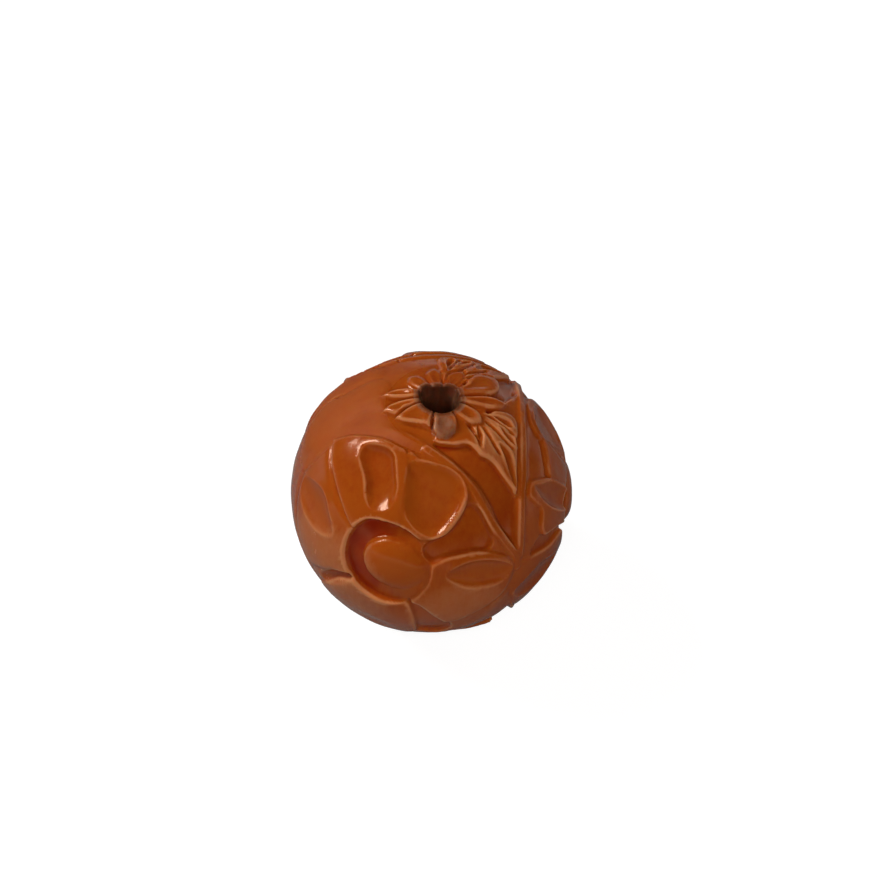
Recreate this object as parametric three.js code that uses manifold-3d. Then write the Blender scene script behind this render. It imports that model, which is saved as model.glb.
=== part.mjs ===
import * as THREE from 'three';
import { mergeVertices } from 'three/addons/utils/BufferGeometryUtils.js';
import Module from 'manifold-3d';

// A round bead of cast phenolic resin, carved in relief and drilled through, in millimetres.
// The bore runs along +Z and the bead stands on its lower end face, centred on the origin.
// Three blossoms ring it, each inside a thin raised border. Leaves fill the gaps toward each
// end, and a rosette of small leaflets closes in on each mouth of the bore.
// Places on the ball are longitude (degrees, 0 faces -Y) and polar angle from its upper end.
// Lengths across the ball are arcs along its surface.

// The ball and its bore
const beadDiameter = 20;
const reliefDepth = 0.75;
const plainRise = 0.42;
const boreDiameter = 2.4;
const mouthDiameter = 3;
const mouthDepth = 0.8;
const endFaceDiameter = 4.8;
const collarSlope = 0.4;

// The blossoms: a button, five petals round it and a border round them
const borderRadius = 9;
const borderRise = 0.69;
const borderFoot = 0.9;
const borderTop = 0.4;
const buttonRadius = 2.05;
const buttonRise = 0.74;
const buttonEdge = 0.4;
const grooveRadius = 3.3;
const grooveRise = 0.06;
const grooveFade = 0.36;
const hollowRise = 0.16;
const petalStart = 3.1;
const petalMargin = 0.5;
const petalRise = 0.7;
const petalEdge = 0.55;
const scoopDepth = 0.48;

// The leaves and the leaflets of the rosettes
const upperLeafLength = 6.6;
const lowerLeafLength = 8.4;
const smoothLeafLength = 8;
const leafRise = 0.64;
const leafEdge = 0.46;
const veinDepth = 0.3;
const toothRise = 0.68;
const toothDepth = 0.26;
const leafletStart = 2;
const leafletReach = 4;
const leafletRise = 0.66;
const leafletEdge = 0.46;
const leafletDepth = 0.16;

// How far a raised form is rooted below the ground, and how far a cut runs past what it cuts
const rootDepth = 0.5;
const cutOverrun = 1.2;

// The first and third blossoms' petals: the turn of a petal's middle line and half its spread,
// in degrees round the button, where it starts, as a share of the common start, if not there, how
// steeply it leans over its neighbour, and its scoop: its turn, its place and half sizes as shares
// of the way out to the border, and its depth as a share of the deepest
const petalShares = [
  { turn: 117, spread: 26, lean: 0.03, scoop: { turn: 110, away: 0.65, long: 0.28, wide: 0.15, deep: 1 } },
  { turn: 70, spread: 26, lean: -0.02, scoop: { turn: 69, away: 0.66, long: 0.24, wide: 0.24, deep: 0.95 } },
  {
    turn: -15, spread: 36, start: 0.9, lean: 0.02,
    scoop: { turn: 2, away: 0.69, long: 0.25, wide: 0.13, deep: 0.7 },
  },
  { turn: 178, spread: 37, lean: 0.02, scoop: { turn: 169, away: 0.69, long: 0.22, wide: 0.12, deep: 0.7 } },
  { turn: -98, spread: 36, lean: 0.02, scoop: { turn: -98, away: 0.74, long: 0.08, wide: 0.19, deep: 0.25 } },
];
// The second blossom's petals stand further round, and one of them is small and almost plain
const secondPetalShares = [
  { turn: 114, spread: 18, lean: 0.03, scoop: { turn: 109, away: 0.61, long: 0.27, wide: 0.12, deep: 0.85 } },
  { turn: 82, spread: 15, lean: 0, scoop: { turn: 82, away: 0.53, long: 0.1, wide: 0.08, deep: 0.15 } },
  { turn: 47, spread: 22, lean: -0.02, scoop: { turn: 50, away: 0.64, long: 0.25, wide: 0.16, deep: 0.95 } },
  {
    turn: -32, spread: 28, start: 0.9, lean: 0.02,
    scoop: { turn: -21, away: 0.68, long: 0.24, wide: 0.12, deep: 0.65 },
  },
  { turn: 188, spread: 26, lean: 0.02, scoop: { turn: 184, away: 0.7, long: 0.2, wide: 0.12, deep: 0.5 } },
  { turn: -98, spread: 36, lean: 0.02, scoop: { turn: -98, away: 0.74, long: 0.08, wide: 0.19, deep: 0.25 } },
];
const petalCorner = 0.55;
// The button and its groove are ovals that lie a little to either side, as shares of their radii
const buttonShares = { middle: [0.155, 0.02], long: 1.16, wide: 1, line: 8 };
const buttonCrownShares = { middle: [0.155, 0.02], long: 0.39, wide: 0.33, line: 8 };
const grooveShares = { middle: [-0.08, 0], long: 1, wide: 1, line: 0 };

// Bare ground cut low between the petals: arcs as shares of the border's radius, at turns
const valleyShares = [[0.33, 20], [0.58, 21], [0.83, 23], [0.83, 44], [0.68, 47], [0.33, 44]];
const wedgeShares = [[0.39, -61], [0.58, -65], [0.92, -72], [1, -62], [0.78, -50], [0.4, -53]];
const secondHollowShares = [[0.66, 136], [0.88, 145], [0.93, 160], [0.73, 160], [0.37, 160], [0.37, 143]];

// Where each blossom sits, how far it is spun round its button, its petals and hollows, and its
// border, as shares of the border's radius at even turns
const blossomSeats = [
  {
    lon: 0, polar: 73, spin: 0, petals: petalShares, hollows: [valleyShares, wedgeShares],
    borderShares: [
      1.04, 0.91, 0.87, 0.91, 0.98, 1.07, 1.13, 1.125, 1.11, 1.08, 1.07, 1.09, 1.09, 1.07, 1.055, 1.02,
    ],
  },
  {
    lon: 108, polar: 86, spin: 24, petals: secondPetalShares, hollows: [secondHollowShares, wedgeShares],
    borderShares: [
      1.02, 1, 0.98, 0.97, 0.97, 0.985, 1, 1.015, 1.03, 1.03, 1.03, 1.02, 1.01, 1.015, 1.03, 1.03,
    ],
  },
  {
    lon: 210, polar: 85, spin: -9, petals: petalShares, hollows: [valleyShares, wedgeShares],
    borderShares: [
      1.02, 1.01, 0.99, 0.99, 0.985, 0.98, 0.995, 1.02, 1.03, 1.03, 1.03, 1.03, 1.03, 1.025, 1.03, 1.03,
    ],
  },
];

// A toothed leaf: its outline and the oval of its midrib, as shares of its length across and
// toward the bore, and the scooped teeth that stand on its far edge
const toothedLeafShares = [
  [-0.13, -0.41], [0.03, -0.23], [0.13, -0.13], [0.24, -0.02], [0.34, 0.05], [0.45, 0.14], [0.47, 0.23],
  [0.38, 0.38], [0.25, 0.54], [0.05, 0.65], [-0.2, 0.7], [-0.42, 0.62], [-0.33, 0.42], [-0.21, 0.28],
  [-0.18, 0.1], [-0.14, -0.08], [-0.14, -0.26],
];
const toothedRibShares = { middle: [-0.01, 0.16], long: 0.26, wide: 0.03, line: 72 };
const toothShares = [
  { middle: [0.35, 0.26], long: 0.2, wide: 0.1, line: 122 },
  { middle: [0.23, 0.09], long: 0.19, wide: 0.08, line: 102 },
];
const toothScoopShares = { long: 0.7, wide: 0.5 };
// The low field between a toothed leaf and the borders beside it
const fieldShares = [
  [-0.46, 0.36], [-0.43, 0], [-0.43, -0.31], [-0.45, -0.6], [-0.37, -0.9], [-0.24, -0.66], [-0.12, -0.4],
  [-0.1, 0], [-0.14, 0.24], [-0.3, 0.46], [-0.45, 0.57],
];
// Two smooth leaves, side by side with a crease between them, which fill the wider gap between
// the third blossom and the first
const smoothLeafShares = [
  [0.1, -0.53], [0.33, -0.42], [0.44, -0.2], [0.4, -0.02], [0.29, 0.13], [0.21, 0.28], [0.18, 0.5],
  [-0.08, 0.48], [-0.25, 0.36], [-0.42, 0.26], [-0.5, 0.06], [-0.45, -0.2], [-0.28, -0.43],
];
const smoothRibShares = { middle: [-0.04, -0.28], long: 0.24, wide: 0.03, line: 112 };
const leafSeats = [
  { lon: 70, polar: 34, end: 1, spin: 0, length: upperLeafLength, smooth: false },
  { lon: 160, polar: 33, end: 1, spin: 0, length: upperLeafLength, smooth: false },
  { lon: 272, polar: 43, end: 1, spin: 0, length: smoothLeafLength, smooth: true },
  { lon: 46, polar: 140, end: -1, spin: 0, length: lowerLeafLength, smooth: false },
  { lon: 158, polar: 143, end: -1, spin: 8, length: lowerLeafLength, smooth: false },
  { lon: 284, polar: 132, end: -1, spin: -6, length: smoothLeafLength, smooth: true },
];
// The leaflets of a rosette: longitude, half spread in degrees, and reach as a share
const leafletShares = [
  { lon: -88, spread: 11, reach: 1.05 }, { lon: -62, spread: 12, reach: 1 },
  { lon: -26, spread: 26, reach: 0.84 }, { lon: 28, spread: 24, reach: 0.82 },
  { lon: 80, spread: 18, reach: 0.84 }, { lon: 114, spread: 11, reach: 1.25 },
  { lon: 142, spread: 15, reach: 1.36 }, { lon: 173, spread: 14, reach: 1 },
  { lon: 205, spread: 14, reach: 0.9 }, { lon: 237, spread: 14, reach: 0.84 },
];
// A leaflet's outline, as shares of its length and of its spread, and its scoop
const leafletOutlineShares = [[0, -0.6], [0.55, -1], [0.88, -0.6], [1, 0], [0.88, 0.6], [0.55, 1], [0, 0.6]];
const leafletScoopShares = { long: 0.3, wide: 0.5 };
const rosetteSeats = [{ end: 1, turn: 0 }, { end: -1, turn: 19 }];

// How finely round things are drawn
const ballSides = 28;
const ballSteps = 10;
const boreSides = 20;
const borderSteps = 32;
const petalPoints = 14;
const buttonPoints = 14;
const groovePoints = 16;
const leafPoints = 16;
const toothPoints = 7;
const roomPoints = 12;

// How a form's skin runs: how far each ring has come from the outline (0) over the rim of its
// heart (1) toward the heart's middle (2), how much of the way from edge to top it has risen, and
// how much of the heart's depth it has sunk
const skinShares = [
  { toward: 0, risen: 0, sunk: 0 }, { toward: 0.4, risen: 0.85, sunk: 0 }, { toward: 1, risen: 1, sunk: 0 },
  { toward: 1.38, risen: 1, sunk: 0.74 },
];
const floorShare = 0.5;
const strapShoulderShare = 0.88;
const weldShare = 1e-6;

// Sizes worked out from the ones above
const crestRadius = beadDiameter / 2;
const groundRadius = crestRadius - reliefDepth;
const plainRadius = groundRadius + plainRise;
const endFaceRadius = endFaceDiameter / 2;
const halfHeight = Math.sqrt(crestRadius ** 2 - endFaceRadius ** 2);

const wasm = await Module();
wasm.setup();

// Turns a closed geometry into a solid for joining and cutting
function solid(geometry) {
  const bare = new THREE.BufferGeometry();
  bare.setAttribute('position', geometry.getAttribute('position').clone());
  bare.setIndex(geometry.index.clone());
  const merged = mergeVertices(bare, crestRadius * weldShare);
  return new wasm.Manifold(new wasm.Mesh({
    numProp: 3,
    vertProperties: new Float32Array(merged.getAttribute('position').array),
    triVerts: new Uint32Array(merged.index.array),
  }));
}

// A lathe turns about its own Y axis; this lays it along the bore
function turned(profile, sides) {
  return solid(new THREE.LatheGeometry(profile, sides).rotateX(Math.PI / 2));
}

// Closes rings of equal count, given from the innermost out, with a point at each end
function skinned(firstPoint, rings, lastPoint) {
  const count = rings[0].length;
  const corners = [firstPoint, ...rings.flat(), lastPoint];
  const last = corners.length - 1;
  const faces = [];
  for (let i = 0; i < count; i += 1) {
    const j = (i + 1) % count;
    faces.push(0, 1 + j, 1 + i, last, last - count + i, last - count + j);
    for (let low = 1; low < last - count; low += count) {
      faces.push(low + i, low + j, low + count + j, low + i, low + count + j, low + count + i);
    }
  }
  const geometry = new THREE.BufferGeometry().setFromPoints(corners);
  return solid(geometry.setIndex(faces));
}

// The directions across, toward an end of the bore, and straight out, at a place on the ball.
// An end of 1 is the upper one and -1 the lower one; spin turns the motif where it sits.
function seatFrame({ lon, polar, end = 1, spin = 0 }) {
  const turn = THREE.MathUtils.degToRad(lon);
  const fall = THREE.MathUtils.degToRad(polar);
  const out = new THREE.Vector3(
    Math.sin(fall) * Math.sin(turn), -Math.sin(fall) * Math.cos(turn), Math.cos(fall));
  const across = new THREE.Vector3(0, 0, end).cross(out).normalize();
  const along = out.clone().cross(across);
  const twist = THREE.MathUtils.degToRad(spin);
  return { across: across.applyAxisAngle(out, twist), along: along.applyAxisAngle(out, twist), out };
}

// The point over a flat place (arcs across and along from the seat), at a height on the ground
function onBall(frame, place, height) {
  const away = place.length() / crestRadius;
  const side = away > 0 ? Math.sin(away) / place.length() : 0;
  return frame.out.clone().multiplyScalar(Math.cos(away))
    .addScaledVector(frame.across, side * place.x)
    .addScaledVector(frame.along, side * place.y)
    .multiplyScalar(groundRadius + height);
}

// A flat place given by its arc from the seat and its turn round it
function polarPlace(away, turnDegrees) {
  const turn = THREE.MathUtils.degToRad(turnDegrees);
  return new THREE.Vector2(Math.cos(turn), Math.sin(turn)).multiplyScalar(away);
}

// Where the ray from an oval's middle toward a place leaves the oval
function ovalRim({ middle, long, wide, line }, place) {
  const ray = place.clone().sub(middle);
  const turn = ray.angle() - THREE.MathUtils.degToRad(line);
  const reach = 1 / Math.hypot(Math.cos(turn) / long, Math.sin(turn) / wide);
  return ray.setLength(reach).add(middle);
}

function ovalOutline(oval, count) {
  return Array.from({ length: count }, (_, i) => (
    ovalRim(oval, polarPlace(oval.long, (i / count) * 360).add(oval.middle))));
}

// An oval whose place and half sizes are shares of one length
function sharedOval({ middle, long, wide, line }, length) {
  return {
    middle: new THREE.Vector2(...middle).multiplyScalar(length),
    long: long * length,
    wide: wide * length,
    line,
  };
}

// A form that the carver leaves standing. Its skin runs up from the root, over the edge of the
// outline and across the top to the rim of its heart, an oval, and from there to the heart's
// middle. It is sunk or crowned there by the heart's depth, and leans by a slope across.
function standing(frame, outline, heart, { rise, edge, depth, lean = 0, leanTurn = 0 }) {
  const middle = heart.middle;
  const slope = polarPlace(lean, leanTurn);
  const root = outline.map((corner) => onBall(frame, corner, -rootDepth));
  const skin = skinShares.map(({ toward, risen, sunk }) => outline.map((corner) => {
    const rim = ovalRim(heart, corner);
    const place = toward < 1 ? corner.clone().lerp(rim, toward) : rim.lerp(middle, toward - 1);
    const height = edge + (rise - edge) * risen - depth * sunk;
    return onBall(frame, place, height + slope.dot(place.clone().sub(middle)));
  }));
  return skinned(onBall(frame, middle, -rootDepth), [root, ...skin], onBall(frame, middle, rise - depth));
}

// A cut with straight walls, down to a floor that follows the ball
function hollowSolid(frame, outline, floor) {
  const middle = outline.reduce((sum, corner) => sum.add(corner), new THREE.Vector2())
    .divideScalar(outline.length);
  const top = reliefDepth + cutOverrun;
  const within = outline.map((corner) => onBall(frame, corner.clone().lerp(middle, floorShare), floor));
  const rings = [floor, top].map((height) => outline.map((corner) => onBall(frame, corner, height)));
  return skinned(onBall(frame, middle, floor), [within, ...rings], onBall(frame, middle, top));
}

// Room for a form's own sunk heart, cut before the form is joined
function heartRoom(frame, heart) {
  return hollowSolid(frame, ovalOutline(heart, roomPoints), -rootDepth / 2);
}

// How far the border is from its blossom's middle
function borderAway({ borderShares }, turnDegrees) {
  const count = borderShares.length;
  const place = THREE.MathUtils.euclideanModulo(turnDegrees / 360, 1) * count;
  const low = Math.floor(place);
  const share = THREE.MathUtils.lerp(borderShares[low], borderShares[(low + 1) % count], place - low);
  return borderRadius * share;
}

// A raised strap: a section of foot and rounded top, carried round the blossom
function borderSolid(frame) {
  const shoulder = borderRise * strapShoulderShare;
  const section = [
    [-borderFoot, -rootDepth], [borderFoot, -rootDepth], [borderTop, shoulder],
    [0, borderRise], [-borderTop, shoulder],
  ];
  const corners = [];
  const faces = [];
  const count = section.length;
  for (let step = 0; step < borderSteps; step += 1) {
    const turn = (step / borderSteps) * 360;
    for (const [width, height] of section) {
      corners.push(onBall(frame, polarPlace(borderAway(frame, turn) + width / 2, turn), height));
    }
    const here = step * count;
    const next = ((step + 1) % borderSteps) * count;
    for (let k = 0; k < count; k += 1) {
      const l = (k + 1) % count;
      faces.push(here + k, next + k, next + l, here + k, next + l, here + l);
    }
  }
  return solid(new THREE.BufferGeometry().setFromPoints(corners).setIndex(faces));
}

function petalHeart(frame, { scoop }) {
  const reach = borderAway(frame, scoop.turn);
  return {
    middle: polarPlace(scoop.away * reach, scoop.turn),
    long: scoop.long * reach,
    wide: scoop.wide * reach,
    line: scoop.turn,
  };
}

// A petal is a round-cornered piece of the ring between the button's groove and the border
function petalSolid(frame, petal) {
  const { turn, spread, start = 1, lean, scoop } = petal;
  const squared = (value) => Math.sign(value) * Math.abs(value) ** petalCorner;
  const outline = Array.from({ length: petalPoints }, (_, i) => {
    const round = (i / petalPoints) * 2 * Math.PI;
    const at = turn + spread * squared(Math.sin(round));
    const outer = borderAway(frame, at) - petalMargin;
    const along = (1 + squared(Math.cos(round))) / 2;
    return polarPlace(THREE.MathUtils.lerp(petalStart * start, outer, along), at);
  });
  const top = { rise: petalRise, edge: petalEdge, depth: scoopDepth * scoop.deep, lean, leanTurn: turn + 90 };
  return standing(frame, outline, petalHeart(frame, petal), top);
}

function buttonSolid(frame) {
  const outline = ovalOutline(sharedOval(buttonShares, buttonRadius), buttonPoints);
  const crown = sharedOval(buttonCrownShares, buttonRadius);
  return standing(frame, outline, crown, { rise: buttonRise, edge: buttonEdge, depth: 0 });
}

// The ring groove round a button, whose outer wall leans outward
function grooveCut(frame) {
  const oval = sharedOval(grooveShares, grooveRadius);
  const rim = ovalOutline(oval, groovePoints);
  const low = { ...oval, long: oval.long - grooveFade, wide: oval.wide - grooveFade };
  const foot = ovalOutline(low, groovePoints);
  const top = reliefDepth + cutOverrun;
  const rings = [
    foot.map((corner) => onBall(frame, corner, grooveRise)),
    rim.map((corner) => onBall(frame, corner, petalRise)),
    rim.map((corner) => onBall(frame, corner, top)),
  ];
  return skinned(onBall(frame, oval.middle, grooveRise), rings, onBall(frame, oval.middle, top));
}

// What is cut and what is left standing for one blossom, in the order of the work
function blossomStages(seat) {
  const frame = { ...seatFrame(seat), borderShares: seat.borderShares };
  const hollows = seat.hollows.map((shares) => (
    hollowSolid(frame, shares.map(([away, turn]) => polarPlace(away * borderRadius, turn)), hollowRise)));
  return {
    lowered: [...hollows, ...seat.petals.map((petal) => heartRoom(frame, petalHeart(frame, petal)))],
    raised: [borderSolid(frame), ...seat.petals.map((petal) => petalSolid(frame, petal))],
    cut: [grooveCut(frame)],
    topped: [buttonSolid(frame)],
  };
}

function leafStages(seat) {
  const frame = seatFrame(seat);
  const { length } = seat;
  const shares = seat.smooth ? smoothLeafShares : toothedLeafShares;
  const through = shares.map(([x, y]) => new THREE.Vector3(x * length, y * length, 0));
  const outline = new THREE.CatmullRomCurve3(through, true, 'centripetal').getSpacedPoints(leafPoints)
    .slice(0, leafPoints).map(({ x, y }) => new THREE.Vector2(x, y));
  const rib = sharedOval(seat.smooth ? smoothRibShares : toothedRibShares, length);
  const blade = standing(frame, outline, rib, { rise: leafRise, edge: leafEdge, depth: veinDepth });
  if (seat.smooth) return { lowered: [heartRoom(frame, rib)], raised: [blade], cut: [], topped: [] };
  const field = fieldShares.map(([x, y]) => new THREE.Vector2(x, y).multiplyScalar(length));
  const teeth = toothShares.map((share) => sharedOval(share, length));
  const hearts = teeth.map((tooth) => (
    { ...tooth, long: tooth.long * toothScoopShares.long, wide: tooth.wide * toothScoopShares.wide }));
  return {
    lowered: [hollowSolid(frame, field, hollowRise), heartRoom(frame, rib)],
    raised: [blade],
    cut: hearts.map((heart) => heartRoom(frame, heart)),
    topped: teeth.map((tooth, i) => standing(frame, ovalOutline(tooth, toothPoints), hearts[i],
      { rise: toothRise, edge: leafEdge, depth: toothDepth })),
  };
}

// Scooped leaflets of uneven length lie round a mouth of the bore, like the petals of a daisy
function rosetteStages({ end, turn }) {
  const raised = leafletShares.map(({ lon, spread, reach }) => {
    const tip = leafletReach * reach;
    const middle = (leafletStart + tip) / 2;
    const polar = THREE.MathUtils.radToDeg(middle / crestRadius);
    const frame = seatFrame({ lon: turn + end * lon, polar: end > 0 ? polar : 180 - polar, end });
    const half = middle * THREE.MathUtils.degToRad(spread);
    const outline = leafletOutlineShares.map(([toward, side]) => {
      const away = THREE.MathUtils.lerp(leafletStart, tip, toward);
      return new THREE.Vector2(half * side * away / middle, middle - away);
    });
    const heart = {
      middle: new THREE.Vector2(),
      long: (tip - leafletStart) * leafletScoopShares.long,
      wide: half * leafletScoopShares.wide,
      line: 90,
    };
    return standing(frame, outline, heart, { rise: leafletRise, edge: leafletEdge, depth: leafletDepth });
  });
  return { lowered: [], raised, cut: [], topped: [] };
}

// The carver's ground
function groundSolid() {
  const collarFoot = Math.asin((endFaceRadius + collarSlope) / plainRadius);
  const profile = [new THREE.Vector2(0, -halfHeight), new THREE.Vector2(endFaceRadius, -halfHeight)];
  for (let step = 0; step <= ballSteps; step += 1) {
    const polar = THREE.MathUtils.lerp(Math.PI - collarFoot, collarFoot, step / ballSteps);
    profile.push(new THREE.Vector2(plainRadius * Math.sin(polar), plainRadius * Math.cos(polar)));
  }
  profile.push(new THREE.Vector2(endFaceRadius, halfHeight), new THREE.Vector2(0, halfHeight));
  return turned(profile, ballSides);
}

// The bore and its two worn mouths, as one turned cutter
function boreSolid() {
  const reach = halfHeight + cutOverrun;
  const flare = (mouthDiameter - boreDiameter) / 2 / mouthDepth;
  const outer = mouthDiameter / 2 + flare * cutOverrun;
  return turned([
    new THREE.Vector2(0, -reach),
    new THREE.Vector2(outer, -reach),
    new THREE.Vector2(boreDiameter / 2, mouthDepth - halfHeight),
    new THREE.Vector2(boreDiameter / 2, halfHeight - mouthDepth),
    new THREE.Vector2(outer, reach),
    new THREE.Vector2(0, reach),
  ], boreSides);
}

// What stands past an end face is ground away flat
function endCut(end) {
  const near = end * halfHeight;
  const far = end * (halfHeight + cutOverrun);
  const [low, high] = end > 0 ? [near, far] : [far, near];
  return turned([
    new THREE.Vector2(0, low),
    new THREE.Vector2(crestRadius, low),
    new THREE.Vector2(crestRadius, high),
    new THREE.Vector2(0, high),
  ], boreSides);
}

function carveBead() {
  const stages = [
    ...blossomSeats.map(blossomStages), ...leafSeats.map(leafStages), ...rosetteSeats.map(rosetteStages),
  ];
  const joinTo = (whole, forms) => forms.reduce((sum, form) => sum.add(form), whole);
  const cutFrom = (whole, cuts) => cuts.reduce((rest, cut) => rest.subtract(cut), whole);
  const lowered = cutFrom(groundSolid(), stages.flatMap((stage) => stage.lowered));
  const raised = joinTo(lowered, stages.flatMap((stage) => stage.raised));
  const cut = cutFrom(raised, stages.flatMap((stage) => stage.cut));
  const topped = joinTo(cut, stages.flatMap((stage) => stage.topped));
  return cutFrom(topped, [endCut(1), endCut(-1), boreSolid()]);
}

function beadMesh() {
  const { vertProperties, triVerts } = carveBead().getMesh();
  const geometry = new THREE.BufferGeometry();
  geometry.setAttribute('position', new THREE.BufferAttribute(vertProperties, 3));
  geometry.setIndex(new THREE.BufferAttribute(triVerts, 1));
  const material = new THREE.MeshStandardMaterial({ color: 0x86411f, roughness: 0.28, metalness: 0 });
  const mesh = new THREE.Mesh(geometry, material);
  mesh.name = 'carved_bead';
  mesh.position.z = halfHeight;
  return mesh;
}

const bead = new THREE.Group();
bead.add(beadMesh());

export default bead;
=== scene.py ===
import math

import bmesh
import bpy
import numpy as np
from mathutils import Matrix, Vector


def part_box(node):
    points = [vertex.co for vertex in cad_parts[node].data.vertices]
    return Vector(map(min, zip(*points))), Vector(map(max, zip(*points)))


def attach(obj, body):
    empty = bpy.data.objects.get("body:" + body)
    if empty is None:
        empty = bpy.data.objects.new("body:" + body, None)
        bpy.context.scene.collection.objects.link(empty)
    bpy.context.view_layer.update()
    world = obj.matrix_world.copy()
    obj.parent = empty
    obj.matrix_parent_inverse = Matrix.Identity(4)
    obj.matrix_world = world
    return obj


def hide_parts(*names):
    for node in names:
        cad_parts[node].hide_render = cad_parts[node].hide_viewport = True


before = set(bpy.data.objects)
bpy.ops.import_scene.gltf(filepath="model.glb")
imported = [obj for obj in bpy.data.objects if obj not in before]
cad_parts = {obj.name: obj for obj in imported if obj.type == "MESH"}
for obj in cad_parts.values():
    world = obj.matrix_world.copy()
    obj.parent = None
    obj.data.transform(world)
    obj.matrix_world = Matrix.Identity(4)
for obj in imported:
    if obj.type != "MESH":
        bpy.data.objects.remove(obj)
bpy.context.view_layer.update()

# The blank: a ball of cast phenolic resin, turned from rod and drilled from end to end.
# Its ends are ground flat round the mouths of the bore, and it stands on the lower one.
MM = 0.001
END_FACE_RADIUS = 2.4 * MM
MOUTH_RADIUS = 1.5 * MM
MOUTH_DEPTH = 0.8 * MM
BORE_RADIUS = 1.2 * MM
RELIEF_DEPTH = 0.75 * MM
BLANK_SIDES = 176
ARC_STEPS = 80
END_FACE_STEPS = 5
MOUTH_STEPS = 4
BORE_STEPS = 4
WELD = 0.0001 * MM

lowest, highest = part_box("carved_bead")
half_height = (highest[2] - lowest[2]) / 2
crest_radius = math.hypot(half_height, END_FACE_RADIUS)
ground_radius = crest_radius - RELIEF_DEPTH
mouth_reach = math.hypot(half_height, MOUTH_RADIUS)


def stepped(start, end, count):
    return [Vector(start).lerp(Vector(end), i / count) for i in range(count)]


def upper_profile():
    """Half of the blank's section, as radius and height, from mid-bore round to the equator."""
    face_turn = math.asin(END_FACE_RADIUS / crest_radius)
    turns = np.linspace(face_turn, math.pi / 2, ARC_STEPS // 2 + 1)
    inside = stepped((BORE_RADIUS, 0), (BORE_RADIUS, half_height - MOUTH_DEPTH), BORE_STEPS)
    mouth = stepped((BORE_RADIUS, half_height - MOUTH_DEPTH), (MOUTH_RADIUS, half_height), MOUTH_STEPS)
    face = stepped((MOUTH_RADIUS, half_height), (END_FACE_RADIUS, half_height), END_FACE_STEPS)
    ball = [Vector((crest_radius * math.sin(t), crest_radius * math.cos(t))) for t in turns]
    return inside + mouth + face + ball


half = upper_profile()
section = half + [Vector((r, -z)) for r, z in reversed(half[1:-1])]
bead_mesh = bmesh.new()
corners = [bead_mesh.verts.new((r, 0, z)) for r, z in section]
outline = [bead_mesh.edges.new((corners[i - 1], corners[i])) for i in range(len(corners))]
bmesh.ops.spin(bead_mesh, geom=corners + outline, cent=(0, 0, 0), axis=(0, 0, 1),
               angle=2 * math.pi, steps=BLANK_SIDES, use_merge=True)
bmesh.ops.remove_doubles(bead_mesh, verts=bead_mesh.verts, dist=WELD)
bmesh.ops.recalc_face_normals(bead_mesh, faces=bead_mesh.faces)


# The carver's marks: each form is drawn on the ball, left standing or scooped out, and edged.
# A seat is a place on the ball: longitude from -Y, polar angle from the upper end, and spin.
# Flat places are arcs across and along from a seat, and "along" runs to the near end of the bore.
SCOOP_FINE = 24
LIP_MARGIN = 4
LIP_INSET = 0.8
LIP_SWING = 0.45
GROOVE_TAPER = 0.2
STRAP_HOLLOW = 0.06
# A strap pares what stands above it by this much at most
STRAP_PARE = 0.1 * RELIEF_DEPTH
TINY = 1e-12


def smooth(share):
    share = np.clip(share, 0, 1)
    return share * share * (3 - 2 * share)


def seat_axes(lon, polar, end=1, spin=0):
    turn, fall, twist = math.radians(lon), math.radians(polar), math.radians(spin)
    out = np.array((math.sin(fall) * math.sin(turn), -math.sin(fall) * math.cos(turn), math.cos(fall)))
    across = np.cross((0, 0, end), out)
    across /= np.linalg.norm(across)
    along = np.cross(out, across)
    return (math.cos(twist) * across + math.sin(twist) * along,
            math.cos(twist) * along - math.sin(twist) * across, out)


def flat_places(points):
    """Millimetres across and along, as metres."""
    return np.array(points, dtype=float) * MM


def turned_places(points):
    """Places given by their arc in millimetres and their turn in degrees."""
    arcs, turns = np.array(points, dtype=float).T
    turns = np.radians(turns)
    return np.stack((arcs * np.cos(turns), arcs * np.sin(turns)), 1) * MM


def curved(points, closed=True, fine=8):
    """A smooth run through the points; a point given twice makes a corner."""
    count = len(points)
    spans = np.arange(count if closed else count - 1)
    if closed:
        before, after, beyond = (spans - 1) % count, (spans + 1) % count, (spans + 2) % count
    else:
        before, after, beyond = np.maximum(spans - 1, 0), spans + 1, np.minimum(spans + 2, count - 1)
    t = (np.arange(fine) / fine)[None, :, None]
    a, b, c, d = (points[k][:, None] for k in (before, spans, after, beyond))
    square = (a - 2.5 * b + 2 * c - d / 2) * t ** 2
    cube = (1.5 * (b - c) + (d - a) / 2) * t ** 3
    run = (b + (c - a) * t / 2 + square + cube).reshape(-1, 2)
    return run if closed else np.vstack((run, points[-1:]))


def off_run(run, places, closed):
    """Each place's distance from the run, its share along the run, and whether it is inside."""
    ends = np.roll(run, -1, 0) if closed else run[1:]
    starts = run if closed else run[:-1]
    lengths = np.hypot(*(ends - starts).T)
    travelled = np.concatenate(((0,), np.cumsum(lengths)))
    x, y = places.T
    nearest = np.full(len(places), np.inf)
    share = np.zeros(len(places))
    inside = np.zeros(len(places), dtype=bool)
    for (ax, ay), (bx, by), length, gone in zip(starts, ends, lengths, travelled):
        if length == 0:
            continue
        dx, dy = bx - ax, by - ay
        t = np.clip(((x - ax) * dx + (y - ay) * dy) / length ** 2, 0, 1)
        away = (x - ax - t * dx) ** 2 + (y - ay - t * dy) ** 2
        closer = away < nearest
        nearest = np.where(closer, away, nearest)
        share = np.where(closer, gone + t * length, share)
        if closed and ay != by:
            inside ^= ((ay > y) != (by > y)) & (x < dx * (y - ay) / dy + ax)
    return np.sqrt(nearest), share / travelled[-1], inside


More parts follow.
